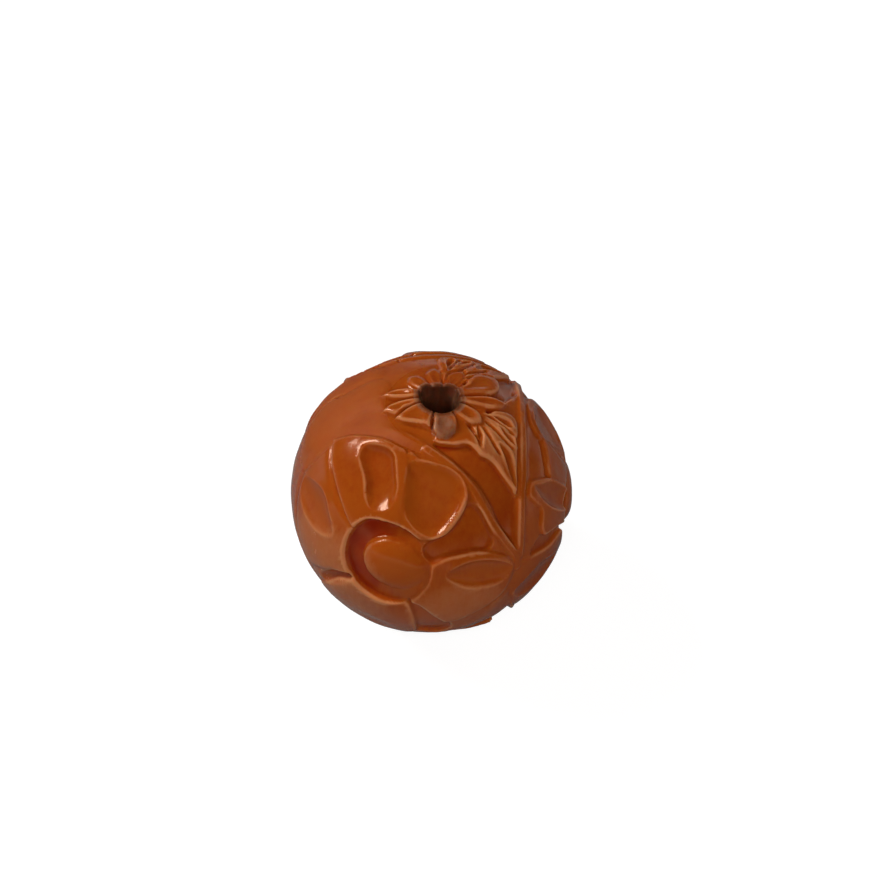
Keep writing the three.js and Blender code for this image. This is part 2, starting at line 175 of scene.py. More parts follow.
class Patch:
    """The part of the ball round a seat, laid flat, with its heights above the ground."""

    def __init__(self, heights, directions, seat, reach):
        across, along, out = seat_axes(**seat)
        cosine = directions @ out
        self.heights = heights
        self.near = np.flatnonzero(cosine > math.cos(reach / crest_radius))
        close = directions[self.near]
        x, y = close @ across, close @ along
        arcs = np.arccos(np.clip(cosine[self.near], -1, 1)) * crest_radius
        stretch = arcs / np.maximum(np.hypot(x, y), TINY)
        self.places = np.stack((x * stretch, y * stretch), 1)

    def around(self, run, margin):
        """Which places lie in the run's box, widened by a margin."""
        inner = (self.places > run.min(0) - margin) & (self.places < run.max(0) + margin)
        return np.flatnonzero(inner.all(1))

    def stand(self, outline, rise, wall=0.2 * MM, shoulder=0.5 * MM, drop=0.12 * MM, lip=0):
        """Leaves a form standing, its edge a steep wall with a rounded shoulder and a slight lip."""
        run = curved(outline)
        some = self.around(run, wall)
        distance, _, inside = off_run(run, self.places[some], True)
        depth = np.where(inside, distance, -distance)
        top = rise - drop * (1 - np.clip(depth / shoulder, 0, 1)) ** 2
        top += lip * np.exp(-((depth - LIP_INSET * wall) / wall) ** 2)
        here = self.near[some]
        self.heights[here] += smooth(depth / wall + 0.5) * (top - self.heights[here])

    def sink(self, outline, floor, wall=0.2 * MM):
        """Cuts a field down to a floor, with a steep wall round it."""
        run = curved(outline)
        some = self.around(run, wall)
        distance, _, inside = off_run(run, self.places[some], True)
        cover = smooth(np.where(inside, distance, -distance) / wall + 0.5)
        here = self.near[some]
        self.heights[here] -= cover * np.maximum(self.heights[here] - floor, 0)

    def scoop(self, outline, heart, depth, power=2, fullness=1, lip=0.02 * MM, lip_width=0.14 * MM,
              lip_turn=None, band=0):
        """Hollows a form out round its heart, inside a band, with a lip that may favour one side."""
        run = curved(outline, fine=SCOOP_FINE)
        some = self.around(run, LIP_MARGIN * lip_width)
        ray = self.places[some] - heart
        rim = run - heart
        turn = np.arctan2(ray[:, 1], ray[:, 0])
        reach = np.interp(turn, np.arctan2(rim[:, 1], rim[:, 0]), np.hypot(*rim.T), period=2 * math.pi)
        length = np.hypot(*ray.T)
        away, _, inside = off_run(curved(outline), self.places[some], True)
        edge = lip * np.exp(-((np.where(inside, away, -away) - band / 2) / lip_width) ** 2)
        if lip_turn is not None:
            edge *= 1 - LIP_SWING + LIP_SWING * np.cos(turn - math.radians(lip_turn))
        hollow = np.clip(1 - (length / (reach - band)) ** power, 0, 1) ** fullness
        self.heights[self.near[some]] += edge - depth * hollow

    def groove(self, points, width, depth):
        """A cut along a line, which runs out at both ends."""
        run = curved(points, closed=False)
        some = self.around(run, width)
        distance, share, _ = off_run(run, self.places[some], False)
        ends = smooth(np.minimum(share, 1 - share) / GROOVE_TAPER)
        self.heights[self.near[some]] -= depth * ends * np.clip(1 - (2 * distance / width) ** 2, 0, 1)

    def strap(self, points, width, rise, wall=0.2 * MM, closed=True):
        """A narrow raised band, its top slightly hollow between two crisp edges."""
        run = curved(points, closed)
        some = self.around(run, width)
        distance, _, _ = off_run(run, self.places[some], closed)
        here = self.near[some]
        top = rise * (1 - STRAP_HOLLOW + STRAP_HOLLOW * np.clip(2 * distance / width, 0, 1) ** 2)
        cover = smooth((width / 2 - distance) / wall + 0.5)
        self.heights[here] += cover * np.maximum(top - self.heights[here], -STRAP_PARE)


# The blossoms: three of them round the ball, each a button in a ring groove, five cupped petals
# that lap over each other, and a thin raised border. All are cut in the solid of the bead.
BLOSSOM_REACH = 12.5 * MM
# Each border as arcs in millimetres at turns in degrees, counterclockwise from "across"
FIRST_BORDER = (
    (9.38, 1), (9.1, 9), (8.25, 21), (7.82, 32), (7.8, 44), (8.02, 56), (8.24, 70), (8.45, 80), (8.7, 88),
    (9.1, 97), (9.36, 106), (9.67, 115), (9.96, 125), (10.19, 134), (10.1, 146), (10.15, 165), (9.9, 186),
    (9.6, 210), (9.7, 235), (9.85, 258), (9.75, 280), (9.6, 300), (9.45, 322), (9.15, 338), (9.36, 350),
)
SECOND_BORDER = (
    (9.25, -4), (9.1, 12), (8.95, 30), (8.8, 48), (8.76, 64), (8.73, 82), (8.75, 96), (8.85, 108), (8.9, 122),
    (9, 138), (9.1, 151), (9.25, 181), (9.3, 211), (9.2, 241), (9.1, 276), (9.2, 306), (9.3, 330),
)
THIRD_BORDER = (
    (9.2, 0), (9.1, 24), (8.9, 48), (8.9, 66), (8.85, 97), (8.8, 121), (9.1, 149), (9.3, 175),
    (9.3, 205), (9.3, 235), (9.3, 265), (9.2, 300), (9.3, 330),
)
BORDER_WIDTH = 0.55 * MM
BORDER_RISE = 0.625 * MM
LOW_BORDER_WIDTH = 1.3 * BORDER_WIDTH
LOW_BORDER_RISE = 0.5 * MM
LOW_BORDER_WALL = 0.5 * MM
# The first border has its sharp crest only from the right round to the top
FIRST_CREST = FIRST_BORDER[:8] + ((8.66, 87),)
BORDER_NICK = ((8.62, 87.4), (8.75, 87), (8.88, 86.6))
NICK_WIDTH = 0.3 * MM
NICK_DEPTH = 0.26 * MM
BASE_RISE = 0.42 * MM
FIELD_WALL = 0.3 * MM
CRISP_WALL = 0.16 * MM
BUTTON = (
    (2.73, 14), (2.38, 33), (2.13, 60), (2.04, 93), (2.03, 126), (2.08, 157), (2.06, 187), (1.97, 229),
    (1.99, 269), (2.22, 308), (2.55, 342),
)
BUTTON_RISE = 0.7 * MM
BUTTON_WALL = 0.34 * MM
BUTTON_CROWN = 0.5 * MM
CROWN_POWER = 4
CROWN_LEAN = 0.4
RING = (
    (3.1, 33), (2.97, 45), (2.96, 57), (2.97, 73), (3.02, 85), (3.21, 107), (3.37, 117), (3.55, 129),
    (3.5, 150), (3.45, 180), (3.5, 210), (3.5, 240), (3.48, 270), (3.25, 300), (2.95, 330), (2.9, 5),
)
RING_WALL = 0.14 * MM
RING_FLOOR = 0.02 * MM
RING_FLOOR_CLIMB = 0.42 * MM
# How the share that counts as the left side goes round the button, in degrees
LEFT_MIDDLE = 0.74
LEFT_SWING = 0.72
LEFT_TURN = 6
# The bare ground between the two right petals, and between the right petal and the lower one
VALLEY = (
    (2.9, 44), (4.8, 43), (6, 46), (7.1, 50), (7.45, 44), (7.45, 34), (7.5, 24), (6.9, 18), (5.2, 21),
    (3.9, 22), (2.9, 20),
)
WEDGE = ((3.4, -54), (5.1, -50), (7, -49), (8.6, -54), (9.2, -64), (8.4, -72), (6.3, -67), (4.8, -63),
         (3.5, -61))
VALLEY_FLOOR = 0.16 * MM
PETALS = (
    {  # the lower petal, broad and plain
        "outline": ((3.3, 228), (5.2, 224.5), (7.4, 224.5), (9, 227), (9.3, 238), (9.3, 252), (9.3, 267),
                    (9.1, 279), (8.2, 287), (6.3, 292), (4.8, 296), (3.6, 299), (3.2, 290), (3.2, 262)),
        "rise": 0.58, "lip": 0.02,
        "scoop": ((8.3, 246), (8.4, 262), (8.2, 278), (7, 277), (6.2, 262), (7, 247)),
        "heart": (7.5, 262), "depth": 0.12, "power": 2, "fullness": 1.5,
        "rim": 0.01, "rim_width": 0.14, "rim_turn": 0,
    },
    {  # the left petal
        "outline": ((3.5, 152), (5.8, 147), (8.2, 143), (9.7, 140), (9.8, 152), (9.7, 165), (9.4, 180),
                    (9.2, 198), (8.8, 212), (7, 214), (5, 213), (3.5, 216), (3.3, 180)),
        "rise": 0.55, "lip": 0.02,
        "scoop": ((9.23, 162), (7.75, 156), (6.64, 155), (5.54, 161), (4.71, 169), (4.72, 177), (5.67, 182),
                  (7.16, 181), (8.49, 176), (9.28, 169)),
        "heart": (7, 168), "depth": 0.34, "power": 2.5, "fullness": 1,
        "rim": 0.05, "rim_width": 0.16, "rim_turn": 60,
    },
    {  # the right petal
        "outline": ((2.72, 11), (3.43, 18), (4.13, 21), (5.11, 21), (6.08, 20), (7.2, 16), (8.25, 11),
                    (9.0, 5), (9.15, -1), (9, -13), (8.5, -22), (7.93, -32), (7.4, -44), (6.91, -50),
                    (6.91, -50), (5.11, -50), (4, -51), (3.38, -56), (2.9, -40), (2.6, -15)),
        "rise": 0.62, "lip": 0.03,
        "scoop": ((3.93, 2), (4.61, 11), (5.73, 14), (7.02, 12), (8.1, 8), (8.81, 4), (8.74, 0), (8.31, -5),
                  (7.39, -8), (6.06, -10), (4.8, -7)),
        "heart": (6.6, 1), "depth": 0.34, "power": 3, "fullness": 1,
        "rim": 0.06, "rim_width": 0.2, "rim_turn": 110,
    },
    {  # the upper right petal
        "outline": ((7.88, 96), (7.95, 88), (8.12, 80), (8.3, 72), (8.23, 64), (7.78, 56), (7.04, 51),
                    (6.02, 47), (4.77, 43), (3.78, 45), (3, 56), (3, 77), (3.2, 88)),
        "rise": 0.62, "lip": 0.04,
        "scoop": ((7.36, 94), (7.71, 88), (7.96, 79), (8.12, 71), (8.02, 64), (7.64, 58), (7.02, 54), (6, 50),
                  (4.75, 47), (3.86, 48), (3.42, 60), (3.56, 76), (4.22, 87), (5.51, 91), (6.56, 93)),
        "heart": (5.9, 65), "depth": 0.54, "power": 4, "fullness": 1,
        "rim": 0.05, "rim_width": 0.14, "rim_turn": -30,
    },
    {  # the upper left petal, which laps over both its neighbours
        "outline": ((3.2, 86), (4.9, 90), (7.8, 94.5), (8.55, 103), (9.05, 113), (9.6, 127), (9.9, 138),
                    (9.9, 138), (8.4, 141.5), (5.85, 145), (3.6, 150), (3.3, 140), (3.1, 110)),
        "rise": 0.68, "lip": 0.04,
        "scoop": ((7.39, 126), (8.15, 125.5), (8.86, 121.5), (8.95, 115), (8.72, 106.5), (8.1, 100),
                  (7.2, 97), (6.22, 95), (5.16, 93), (4.1, 95), (3.6, 102), (3.5, 114), (3.82, 123),
                  (4.61, 125.5), (5.7, 124.5), (6.67, 125.5)),
        "heart": (7.1, 111), "depth": 0.58, "power": 4, "fullness": 1,
        "rim": 0.03, "rim_width": 0.3, "rim_turn": 125, "band": 0.45,
    },
)
# The hollow between the left petal and the lower one
PETAL_GAP = {"outline": ((7.3, 218), (5.24, 213), (3.82, 215), (3.4, 221), (3.45, 225), (5.21, 222.5),
                         (7.5, 224)),
             "heart": (5, 219), "depth": 0.36}


def border_arcs(border, turns):
    arcs, stops = np.array(border, dtype=float).T
    return np.interp(turns, stops, arcs, period=360)


def fitted(points, border):
    """Places drawn for the first blossom, stretched to the border of another one."""
    arcs, turns = np.array(points, dtype=float).reshape(-1, 2).T
    stretch = border_arcs(border, turns) / border_arcs(FIRST_BORDER, turns)
    return turned_places(np.stack((arcs * stretch, turns), 1))


SECOND_HOLLOW = (
    (3.3, 143), (4.73, 136), (5.77, 135), (6.6, 134), (7.4, 138), (8.1, 148), (8.4, 163), (7.54, 164),
    (6.55, 160), (5.02, 160), (3.3, 160),
)
SECOND_PETALS = PETALS[:2] + (
    {  # the right petal
        "outline": ((2.72, -12), (4.13, -4), (6.08, -4), (8, -14), (9, -24), (8.5, -44), (7.2, -56),
                    (5.11, -60), (3.38, -60), (2.9, -46)),
        "rise": 0.62, "lip": 0.03,
        "scoop": ((4, -20), (5.7, -9), (7.5, -12), (8.5, -22), (7.6, -33), (5.6, -33)),
        "heart": (6.4, -22), "depth": 0.3, "power": 3, "fullness": 1,
        "rim": 0.05, "rim_width": 0.2, "rim_turn": 90,
    },
    {  # the upper right petal, deeply cupped
        "outline": ((3, 68), (4.3, 70), (6, 70), (7.2, 70), (8.1, 62), (8.3, 48), (7.8, 34), (6.4, 26),
                    (4.6, 22), (3.1, 26), (3, 48)),
        "rise": 0.6, "lip": 0.05,
        "scoop": ((3.4, 64), (4.3, 67), (6, 67.5), (6.9, 67), (7.6, 60), (7.7, 48), (7.2, 37), (6, 31),
                  (4.6, 30), (3.5, 36), (3.4, 50)),
        "heart": (5.6, 50), "depth": 0.46, "power": 3, "fullness": 1,
        "rim": 0.06, "rim_width": 0.12, "rim_turn": 110,
    },
    {  # the rib that stands between the two upper petals
        "outline": ((7, 68), (7, 68), (5.96, 68), (4.3, 68), (3, 66), (3, 97), (4.7, 96), (6, 96),
                    (6, 96), (6.15, 88), (6.3, 80), (6.5, 74)),
        "rise": 0.62, "lip": 0.04,
        "scoop": ((5.4, 74), (5.3, 84), (5.2, 91), (4.1, 91), (4, 82), (4.2, 74)),
        "heart": (4.7, 82), "depth": 0.06, "power": 2, "fullness": 1.5,
        "rim": 0, "rim_width": 0.1, "rim_turn": 0,
    },
    {  # the upper left petal, with a cupped lens
        "outline": ((3.1, 98), (4.7, 95), (6, 95), (7, 97), (8.1, 100), (8.3, 107), (7.6, 112), (7, 116),
                    (7, 127), (6.6, 134), (5.77, 135), (4.73, 136), (3.3, 143), (3, 130)),
        "rise": 0.66, "lip": 0.05,
        "scoop": ((7.87, 102), (6.99, 100), (5.86, 97), (4.7, 97), (3.3, 101), (3.1, 112), (3.2, 123),
                  (4.1, 123), (5.63, 117), (6.63, 112), (7.24, 108)),
        "heart": (5, 110), "depth": 0.4, "power": 2.5, "fullness": 1,
        "rim": 0.08, "rim_width": 0.12, "rim_turn": 200,
    },
)
SECOND_BAND_CUT = ((7.05, 70), (6.7, 76), (6.5, 84), (6.3, 90), (6.22, 96))
BLOSSOMS = (
    {"seat": {"lon": 0, "polar": 73, "spin": 0}, "border": FIRST_BORDER, "crest": FIRST_CREST,
     "petals": PETALS, "hollows": (VALLEY, WEDGE), "cuts": ()},
    {"seat": {"lon": 108, "polar": 86, "spin": 24}, "border": SECOND_BORDER, "crest": SECOND_BORDER,
     "petals": SECOND_PETALS, "hollows": (SECOND_HOLLOW, WEDGE), "cuts": (SECOND_BAND_CUT,)},
    {"seat": {"lon": 210, "polar": 85, "spin": -9}, "border": THIRD_BORDER, "crest": THIRD_BORDER,
     "petals": PETALS, "hollows": (VALLEY, WEDGE), "cuts": (BORDER_NICK,)},
)


def carve_blossom(heights, directions, blossom):
    patch = Patch(heights, directions, blossom["seat"], BLOSSOM_REACH)
    border, petals = blossom["border"], blossom["petals"]
    borrowed = petals is PETALS and border is not FIRST_BORDER

    def laid(points):
        return fitted(points, border) if borrowed else turned_places(points)

    patch.strap(turned_places(border), LOW_BORDER_WIDTH, LOW_BORDER_RISE, LOW_BORDER_WALL)
    patch.strap(turned_places(blossom["crest"]), BORDER_WIDTH, BORDER_RISE, closed=blossom["crest"] is border)
    for hollow in blossom["hollows"]:
        patch.sink(laid(hollow), VALLEY_FLOOR, FIELD_WALL)
    for petal in petals:
        patch.stand(laid(petal["outline"]), petal["rise"] * MM, CRISP_WALL, lip=petal["lip"] * MM)
        patch.scoop(laid(petal["scoop"]), laid((petal["heart"],))[0], petal["depth"] * MM, petal["power"],
                    petal["fullness"], petal["rim"] * MM, petal["rim_width"] * MM, petal["rim_turn"],
                    petal.get("band", 0) * MM)
    for cut in blossom["cuts"]:
        patch.groove(laid(cut), NICK_WIDTH, NICK_DEPTH)
    patch.scoop(laid(PETAL_GAP["outline"]), laid((PETAL_GAP["heart"],))[0], PETAL_GAP["depth"] * MM)
    carve_button(patch)


def carve_button(patch):
    """The ring groove, deepest at the left and shallow at the right, and the button inside it."""
    here = patch.near
    away = np.hypot(*patch.places.T)
    turn = np.degrees(np.arctan2(patch.places[:, 1], patch.places[:, 0]))
    ring = border_arcs(RING, turn) * MM
    button = border_arcs(BUTTON, turn) * MM
    left = smooth(LEFT_MIDDLE - LEFT_SWING * np.cos(np.radians(turn + LEFT_TURN)))
    heights = patch.heights[here]
    floor = RING_FLOOR + (1 - left) * RING_FLOOR_CLIMB
    cover = smooth((ring - away) / RING_WALL + 0.5)
    heights += cover * (np.minimum(floor, heights) - heights)
    crown = BUTTON_CROWN * (1 - CROWN_LEAN + CROWN_LEAN * left)
    dome = BUTTON_RISE - crown * (away / button) ** CROWN_POWER
    cover = smooth((button - away) / BUTTON_WALL + 0.5)
    heights += cover * (dome - heights)
    patch.heights[here] = heights


# The leaves: toothed ones fan out from the rosettes into the gaps between the blossoms, and two
# broad smooth ones fill the widest gap. Their lobes are hollowed and their ribs cut with a line.
FAN_LEAVES = (
    {"seat": {"lon": 70, "polar": 34}, "size": 1},
    {"seat": {"lon": 160, "polar": 33}, "size": 1},
    {"seat": {"lon": 46, "polar": 140, "end": -1}, "size": 1.25},
    {"seat": {"lon": 158, "polar": 143, "end": -1, "spin": 8}, "size": 1.25},
)
SMOOTH_LEAF_SEATS = (
    {"lon": 272, "polar": 43, "spin": 0},
    {"lon": 284, "polar": 132, "end": -1, "spin": -6},
)
LEAF_REACH = 7.5 * MM
FAN_BLADE = (
    (-2.9, 4), (-2.15, 2.8), (-1.45, 2.3), (-1.3, 1.6), (-1.3, 1.05), (-1.05, 0.5), (-0.92, -0.1),
    (-0.95, -0.9), (-0.92, -1.7), (-0.87, -2.7), (-0.87, -2.7), (-0.15, -2), (0.3, -1.4), (0.85, -0.85),
    (1.4, -0.35), (1.8, 0.15), (2.25, 0.3), (3, 0.9), (3.15, 1.5), (2.8, 2.15), (2.15, 2.85), (1.7, 3.6),
    (0.4, 4.3), (-1.3, 4.7),
)
FAN_LOBES = (
    {"outline": ((1.42, 1.75), (1.42, 1.75), (1.68, 1.1), (1.72, 0.4), (1.38, -0.2), (1.38, -0.2),
                 (1.18, 0.4), (1.2, 1.05)),
     "heart": (1.45, 0.6), "depth": 0.34},
    {"outline": ((1.7, 2.6), (1.7, 2.6), (2.15, 2.1), (2.52, 1.4), (2.35, 0.85), (2.35, 0.85), (2.02, 1.05),
                 (1.85, 1.65)),
     "heart": (2.1, 1.6), "depth": 0.34},
    {"outline": ((0.34, 2.9), (0.34, 2.9), (0, 2), (-0.72, 1.45), (-0.72, 1.45), (-0.52, 2.15)),
     "heart": (-0.25, 2), "depth": 0.32},
    {"outline": ((0.35, 0.9), (0.7, 0.3), (0.6, -0.5), (-0.2, -1.6), (-0.7, -2.3), (-0.5, -1.2), (0, 0)),
     "heart": (0.2, -0.4), "depth": 0.2},
)
FAN_CUTS = (
    ((0.5, 2.5), (0.14, 1.42), (-0.03, 0.75), (-0.12, 0)),
    ((-0.1, 3.4), (-0.41, 2.33), (-0.9, 1.35)),
    ((1, 2.7), (0.95, 1.2), (1.02, -0.3)),
    ((1.5, 2.9), (1.8, 1.3), (1.85, 0.3)),
)
FAN_RISE = 0.62 * MM
FAN_LIP = 0.06 * MM
LOBE_POWER = 1.5
LOBE_LIP = 0.07 * MM
LOBE_LIP_WIDTH = 0.1 * MM
# The bare ground between a fan leaf and the two borders beside it
LOZENGE = (
    (-3.09, 3.83), (-2.24, 2.97), (-1.35, 2.2), (-1.2, 1.11), (-0.9, -0.02), (-0.9, -1.49),
    (-0.85, -2.92), (-1.5, -4.46), (-2.42, -6.34), (-2.85, -5.11), (-2.97, -3.45), (-2.82, -2.03),
    (-2.73, -0.41), (-2.88, 0.93), (-3.05, 2.35),
)
LOZENGE_FLOOR = 0.14 * MM
SMOOTH_BLADE = (
    (1.5, 4), (1.55, 2.85), (1.7, 1.8), (2.3, 1.05), (2.5, 0.55), (3.35, -0.3), (3.5, -1.7), (2.6, -3.4),
    (1, -4.2), (0, -3.4), (-0.75, -2.4), (-0.85, -1.4), (-0.6, -0.4), (-1.2, 1.2), (-1.6, 2.6), (-0.6, 3.8),
)
SECOND_SMOOTH_BLADE = (
    (-0.9, -2.4), (-0.95, -1.4), (-0.75, -0.4), (-1.3, 1.2), (-1.8, 2.6), (-3.2, 2.2), (-4, 0.6),
    (-3.6, -1.6), (-2.2, -3.4), (0, -4.4),
)
SMOOTH_CUT = ((1, -3.82), (0.1, -3.13), (-0.67, -2.4), (-0.82, -1.43), (-0.59, -0.46))
SMOOTH_CUT_WIDTH = 0.34 * MM
SMOOTH_CUT_DEPTH = 0.26 * MM
SMOOTH_RISE = 0.62 * MM
SMOOTH_SHOULDER = 1.2 * MM
SMOOTH_DROP = 0.14 * MM
SECOND_SMOOTH_DROP = 0.16 * MM
CUT_WIDTH = 0.3 * MM
CUT_DEPTH = 0.22 * MM


def carve_fan_leaf(heights, directions, leaf):
    size = leaf["size"]
    patch = Patch(heights, directions, leaf["seat"], LEAF_REACH * size)
    patch.sink(flat_places(LOZENGE) * size, LOZENGE_FLOOR, FIELD_WALL)
    patch.stand(flat_places(FAN_BLADE) * size, FAN_RISE, CRISP_WALL, lip=FAN_LIP)
    for cut in FAN_CUTS:
        patch.groove(flat_places(cut) * size, CUT_WIDTH, CUT_DEPTH)
    for lobe in FAN_LOBES:
        patch.scoop(flat_places(lobe["outline"]) * size, flat_places(lobe["heart"]) * size,
                    lobe["depth"] * MM, LOBE_POWER, lip=LOBE_LIP, lip_width=LOBE_LIP_WIDTH)


def carve_smooth_leaf(heights, directions, seat):
    patch = Patch(heights, directions, seat, LEAF_REACH)
    for blade, drop in ((SECOND_SMOOTH_BLADE, SECOND_SMOOTH_DROP), (SMOOTH_BLADE, SMOOTH_DROP)):
        patch.stand(flat_places(blade), SMOOTH_RISE, shoulder=SMOOTH_SHOULDER, drop=drop)
    patch.groove(flat_places(SMOOTH_CUT), SMOOTH_CUT_WIDTH, SMOOTH_CUT_DEPTH)


# The rosettes: leaflets of uneven width close in on each mouth of the bore, cut freehand.
# Their places are arcs from the axis of the bore at longitudes, and the lower one is turned.
LEAFLETS = (
    ((4.2, -81), (4.2, -81), (3.8, -86), (3.1, -93), (2.2, -100), (1.3, -101), (1.3, -80), (3.1, -78)),
    ((4, -61), (4, -61), (3.6, -66), (2.8, -70), (1.9, -74), (1.2, -74), (1.2, -60), (2.3, -58), (3.2, -49)),
    ((3.4, -46), (3.4, -46), (2.6, -51), (1.7, -56), (1.1, -50), (1.1, -6), (1.9, 0), (2.5, 4), (2.5, 4),
     (2.7, -22), (3.15, -36)),
    ((1.2, 2), (1.2, 52), (2.1, 53), (2.8, 40), (3.2, 22), (2.7, 9), (2, 6)),
    ((1.2, 62), (1.2, 96), (2, 98), (2.9, 92), (3.3, 80), (2.8, 68), (2, 61)),
    ((1.2, 102), (1.2, 120), (2.3, 124), (3.9, 124), (5, 119), (5, 119), (4.4, 110), (3.3, 105), (2, 104)),
    ((1.2, 126), (1.2, 150), (2.4, 152), (3.2, 158), (4.5, 158), (5.5, 148), (5, 136), (3.9, 128),
     (2.3, 127)),
    ((1.2, 158), (1.2, 184), (2.2, 188), (3.2, 184), (4, 172), (3.3, 164), (2.3, 160)),
    ((1.2, 190), (1.2, 216), (2.2, 220), (3.1, 216), (3.6, 204), (3, 195), (2, 192)),
    ((1.2, 222), (1.2, 250), (2.1, 252), (2.9, 248), (3.3, 238), (2.9, 228), (2, 223)),
)
LEAFLET_RISE = 0.66 * MM
LEAFLET_SHOULDER = 0.4 * MM
LEAFLET_DROP = 0.14 * MM
LEAFLET_LIP = 0.02 * MM
LEAFLET_SCOOP = 0.16 * MM
# The last three leaflets are rubbed nearly flat
RUBBED_LEAFLETS = 3
RUBBED_RISE = 0.5 * MM
RUBBED_SCOOP = 0.06 * MM
LEAFLET_SCOOP_SHARE = 0.55
LOWER_ROSETTE_TURN = 19
ROSETTE_REACH = 6.5 * MM
# Degrees from the equator, as a seat's axes need it to be just off the axis of the bore
SEAT_LATITUDE = 89.99


def carve_rosette(heights, directions, end, turn):
    patch = Patch(heights, directions, {"lon": turn, "polar": 90 - SEAT_LATITUDE * end}, ROSETTE_REACH)
    here = patch.near
    close = directions[here]
    arcs = np.arccos(np.clip(end * close[:, 2], -1, 1)) * crest_radius
    lons = np.arctan2(close[:, 0], -close[:, 1]) * end - math.radians(turn)
    patch.places = np.stack((arcs * np.cos(lons), arcs * np.sin(lons)), 1)
    for count, leaflet in enumerate(LEAFLETS):
        rubbed = count >= len(LEAFLETS) - RUBBED_LEAFLETS
        edge = turned_places(leaflet)
        middle = edge.mean(0)
        patch.stand(edge, RUBBED_RISE if rubbed else LEAFLET_RISE, CRISP_WALL, LEAFLET_SHOULDER,
                    LEAFLET_DROP, LEAFLET_LIP)
        patch.scoop(middle + (edge - middle) * LEAFLET_SCOOP_SHARE, middle,
                    RUBBED_SCOOP if rubbed else LEAFLET_SCOOP, lip=0)


# The carved surface: the ball is cut down to its ground, leaves first and blossoms last, and the
# mouths of the bore are worn out of round. The mesh is cut finer wherever the relief bends more.
MOUTH_WEAR_REACH = 1.3 * MM
# Keeps the edge of a mouth with the outer surface
HAIR = 0.001 * MM
# The worn edge of a mouth, as arcs in millimetres at longitudes
MOUTH_EDGE = (
    (1.45, -84), (1.58, -104), (1.6, -128), (1.3, -146), (1.26, -165), (1.5, 172), (1.6, 156), (1.42, 127),
    (1.4, 95), (1.3, 67), (1.28, 40), (1.27, 22), (1.22, 1), (1.2, -22), (1.27, -58),
)
HAND_WAVE = 0.01 * MM
BORE_FALL = 0.3 * MM
BORE_FALL_REACH = 4.7 * MM
BORE_FALL_WIDTH = 2.2 * MM
BORE_FALL_KEPT = 0.75
RUBBED_LON = 205
RUBBED_HALF_WIDTH = 32
FINE_ROUNDS = 2
FINE_BEND = 0.016 * MM
FINEST_EDGE = 0.16 * MM
EDGE_LOOKS = 6
EDGE_REACH = 0.25 * MM
EDGE_HEIGHT = 0.2 * MM
# In millimetres, like the borders' own arcs
BORDER_FADE = 0.4
ROSETTE_RADIUS = 3.6 * MM
ROSETTE_FADE = 0.6 * MM
# Where the painted shade round each mouth of the bore starts and fades out
MOUTH_DARK_START = 1.5 * MM
MOUTH_DARK_FADE = 0.6 * MM
GREY_LEAFLETS = ({"lon": 25, "polar": 14, "reach": 1.1 * MM, "share": 0.6},)
# Plain ground whose polish is dull, and forms painted paler as a painted reflection
DULL_PATCHES = (
    {"lon": -78, "polar": 36, "reach": 7 * MM, "share": 1},
    {"lon": -35, "polar": 28, "reach": 3.5 * MM, "share": 0.8},
)
# Painted reflection: on these patches the colour is painted paler, as if they mirrored light
PAINTED_REFLECTION_PATCHES = (
    {"lon": -28, "polar": 98, "reach": 7 * MM, "share": 0.8},
    {"lon": 32, "polar": 98, "reach": 5 * MM, "share": 0.6},
    {"lon": 80, "polar": 28, "reach": 3 * MM, "share": 0.7},
)


def relief(directions):
    """Heights above the ground at these directions from the middle of the ball."""
    heights = np.full(len(directions), BASE_RISE)
    for seat in SMOOTH_LEAF_SEATS:
        carve_smooth_leaf(heights, directions, seat)
    for leaf in FAN_LEAVES:
        carve_fan_leaf(heights, directions, leaf)
    bore_arcs = np.arccos(np.clip(np.abs(directions[:, 2]), -1, 1)) * crest_radius
    lons = np.degrees(np.arctan2(directions[:, 0], -directions[:, 1])) % 360
    kept = BORE_FALL_KEPT * smooth(2 - np.abs(lons - RUBBED_LON) / RUBBED_HALF_WIDTH)
    heights -= BORE_FALL * (1 - kept) * smooth((BORE_FALL_REACH - bore_arcs) / BORE_FALL_WIDTH)
    carve_rosette(heights, directions, 1, 0)
    carve_rosette(heights, directions, -1, LOWER_ROSETTE_TURN)
    for blossom in BLOSSOMS[::-1]:
        carve_blossom(heights, directions, blossom)
    # The low waves of hand work, as sines of millimetres
    x, y, z = directions.T * crest_radius / MM
    wave = np.sin(1.9 * x + 1.3 * y) * np.sin(2.3 * z - 0.8 * x)
    wave += np.sin(2.9 * y + 1.1) * np.sin(1.7 * z + 2.1 * x)
    return heights + HAND_WAVE * wave


def mouth_shift(spots):
    """How far the worn mouth is out from its round edge, at each spot's longitude."""
    arcs, lons = np.array(MOUTH_EDGE).T
    x, y, z = spots.T
    seen = np.degrees(np.arctan2(x, -y)) * np.where(z > 0, 1, -1) - np.where(z > 0, 0, LOWER_ROSETTE_TURN)
    return np.interp(seen, lons, arcs * MM, period=360) - MOUTH_RADIUS


def carved(spots):
    """Where the blank's spots end up, and their heights above the ground."""
    reach = np.linalg.norm(spots, axis=1)
    outer = reach > mouth_reach - HAIR
    radius = np.hypot(spots[:, 0], spots[:, 1])
    past_mouth = (radius - MOUTH_RADIUS) / MOUTH_WEAR_REACH
    down_bore = (half_height - np.abs(spots[:, 2])) / MOUTH_DEPTH
    depth = np.where(outer, past_mouth, down_bore)
    worn = radius + mouth_shift(spots) * smooth(1 - depth)
    ends = spots * np.stack((worn / radius, worn / radius, np.ones(len(spots))), 1)
    directions = ends[outer] / np.linalg.norm(ends[outer], axis=1)[:, None]
    heights = np.full(len(spots), -RELIEF_DEPTH)
    heights[outer] = relief(directions)
    cut = directions * (ground_radius + heights[outer])[:, None]
    cut[:, 2] = np.clip(cut[:, 2], -half_height, half_height)
    ends[outer] = cut
    return ends, heights


